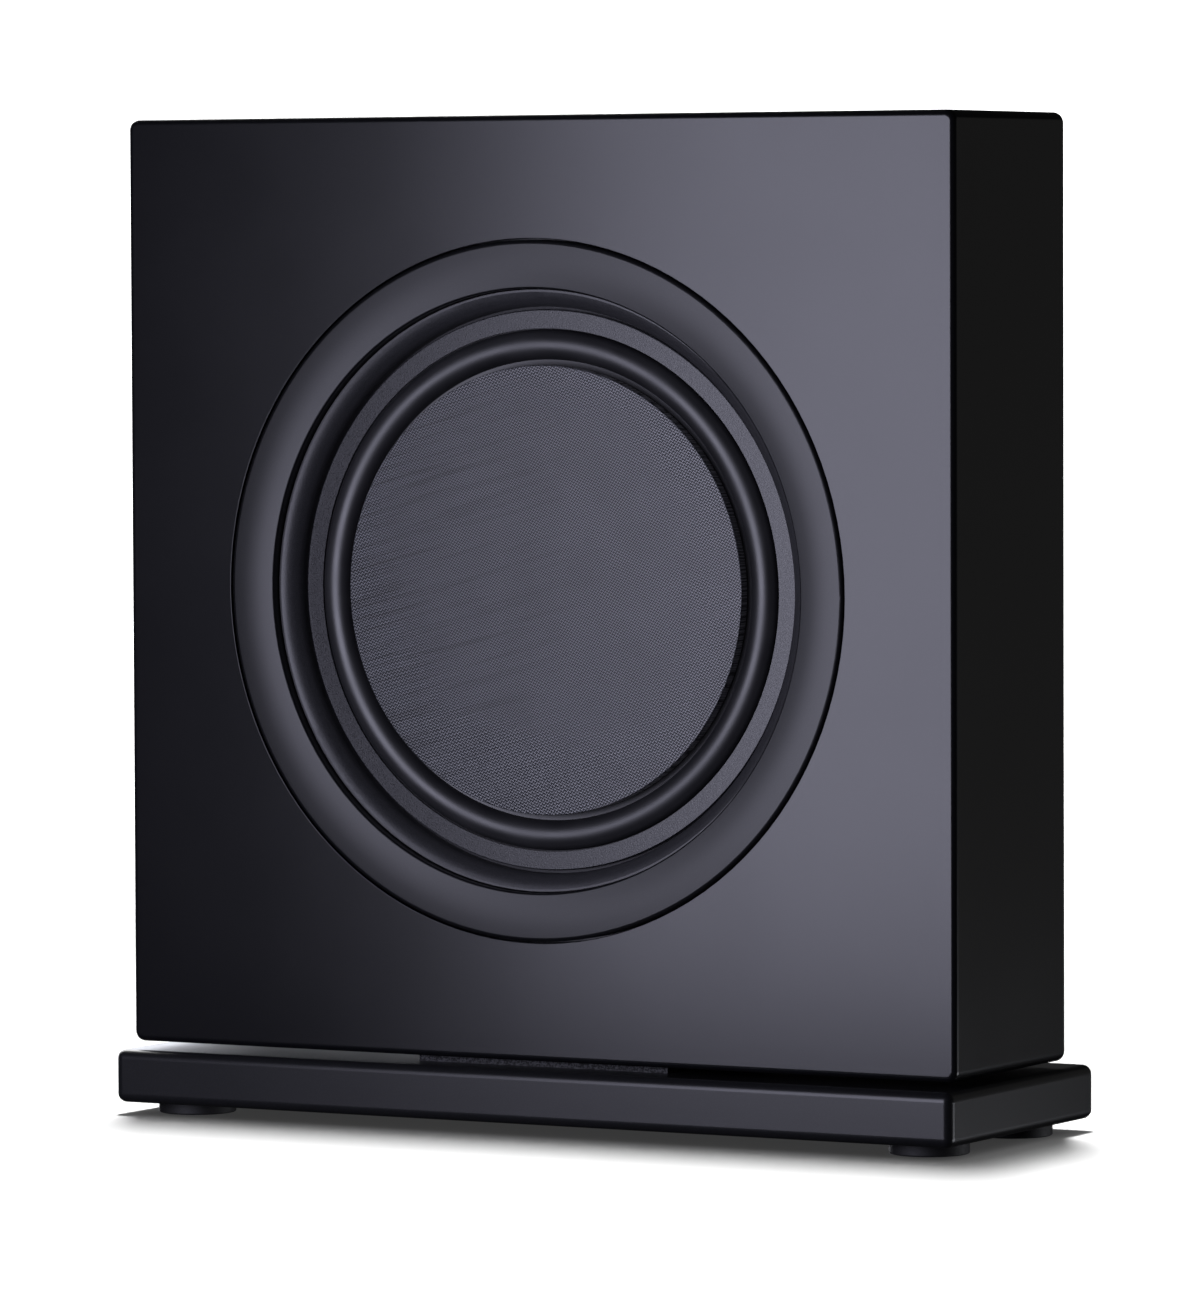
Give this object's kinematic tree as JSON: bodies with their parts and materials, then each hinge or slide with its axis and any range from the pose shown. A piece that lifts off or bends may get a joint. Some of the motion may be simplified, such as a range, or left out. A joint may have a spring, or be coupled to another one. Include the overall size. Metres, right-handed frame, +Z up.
{
  "type": "powered subwoofer",
  "caption": "Slim closed-box powered subwoofer: large flat woven cone in a domed ring, dark lacquered cabinet on a low plinth with rubber feet, controls and inputs at the back.",
  "frame": {"origin": "on the floor, under the middle of the plinth", "axes": "+Z up, the driver faces -Y, +X to the right as seen from the front"},
  "size_m": [0.406, 0.136, 0.4315],
  "materials": {
    "lacquer": "satin dark lacquer on fibreboard",
    "trim_lacquer": "satin lacquer",
    "grained_plastic": "fine moulded grain",
    "ring_plastic": "fine moulded grain",
    "surround_rubber": "satin",
    "foot_rubber": "matt",
    "foam": "closed-cell foam",
    "woven_skin": "plain woven fibre cloth",
    "core_foam": "rigid foam",
    "coupler_paper": "pressed pulp",
    "cast_frame": "powder coat",
    "zinc_steel": "zinc plated",
    "black_screws": "black oxide",
    "spider_cloth": "impregnated cotton",
    "plated_steel": "passivated",
    "ferrite": "ground ferrite",
    "coil_former": "thin foil",
    "copper_wire": "copper wire",
    "terminal_plastic": "moulded",
    "wire_jacket": "flexible jacket",
    "raw_board": "raw fibreboard",
    "wadding": "loose fibre pad",
    "plate_paint": "fine texture powder coat",
    "black_anodised": "black anodised",
    "circuit_green": "solder mask",
    "transformer_steel": "varnished laminations",
    "capacitor_sleeve": "shrink sleeve",
    "control_plastic": "fine matt",
    "housing_plastic": "moulded",
    "shaft_steel": "turned",
    "bright_metal": "nickel plated",
    "brass_insert": "turned",
    "spacer_grey": "speckled grey board"
  },
  "bodies": {
    "cabinet": {"amplifier_cover": "zinc_steel", "amplifier_plate": "plate_paint", "bezel_ring": "grained_plastic", "board_posts": "zinc_steel", "bottom_panel": "lacquer", "cabinet_braces": "raw_board", "circuit_board": "circuit_green", "clamp_ring": "ring_plastic", "crossover_pot": "housing_plastic", "damping_wadding": "wadding", "driver_frame": "cast_frame", "driver_screws": "zinc_steel", "driver_terminals": "terminal_plastic", "foot_front_left": "foot_rubber", "foot_front_right": "foot_rubber", "foot_rear_left": "foot_rubber", "foot_rear_right": "foot_rubber", "foot_screws": "zinc_steel", "frame_gasket": "foam", "front_baffle": "lacquer", "heatsink": "black_anodised", "inlet_pins": "bright_metal", "jack_collars": "housing_plastic", "left_panel": "lacquer", "level_pot": "housing_plastic", "line_jacks": "bright_metal", "magnet_ring": "ferrite", "mains_inlet": "housing_plastic", "mains_transformer": "transformer_steel", "motor_screws": "zinc_steel", "phase_switch_housing": "housing_plastic", "plate_screws": "black_screws", "plate_seal": "foam", "plinth": "lacquer", "plinth_bolts": "zinc_steel", "pole_yoke": "plated_steel", "power_switch_housing": "housing_plastic", "rear_panel": "lacquer", "reservoir_capacitors": "capacitor_sleeve", "right_panel": "lacquer", "spacer_plate": "spacer_grey", "speaker_cable": "wire_jacket", "spider": "spider_cloth", "surround": "surround_rubber", "threaded_inserts": "brass_insert", "tinsel_leads": "copper_wire", "top_panel": "lacquer", "top_plate": "plated_steel", "trim_ring": "trim_lacquer"},
    "cone": {"cone_skin": "woven_skin", "cone_core": "core_foam", "cone_coupler": "coupler_paper", "voice_coil_former": "coil_former", "voice_coil": "copper_wire"},
    "level_control": {"level_shaft": "shaft_steel", "level_knob": "control_plastic"},
    "crossover_control": {"crossover_shaft": "shaft_steel", "crossover_knob": "control_plastic"},
    "power_rocker": {"power_rocker": "control_plastic"},
    "phase_rocker": {"phase_rocker": "control_plastic"}
  },
  "joints": [
    {"name": "cone_travel", "type": "slide", "parent": "cabinet", "child": "cone", "axis": [0, -1, 0], "range_m": [-0.008, 0.008], "stiffness_N_per_m": 2500, "deforming": ["surround", "spider", "tinsel_leads"]},
    {"name": "level_turn", "type": "hinge", "parent": "cabinet", "child": "level_control", "pos_m": [0.061, 0.0505, 0.134], "axis": [0, 1, 0], "range_deg": [-150, 150]},
    {"name": "crossover_turn", "type": "hinge", "parent": "cabinet", "child": "crossover_control", "pos_m": [0.095, 0.0505, 0.134], "axis": [0, 1, 0], "range_deg": [-150, 150]},
    {"name": "power_rock", "type": "hinge", "parent": "cabinet", "child": "power_rocker", "pos_m": [-0.084, 0.0501, 0.126], "axis": [1, 0, 0], "range_deg": [0, 18]},
    {"name": "phase_rock", "type": "hinge", "parent": "cabinet", "child": "phase_rocker", "pos_m": [0.078, 0.0501, 0.104], "axis": [1, 0, 0], "range_deg": [0, 18]}
  ]
}
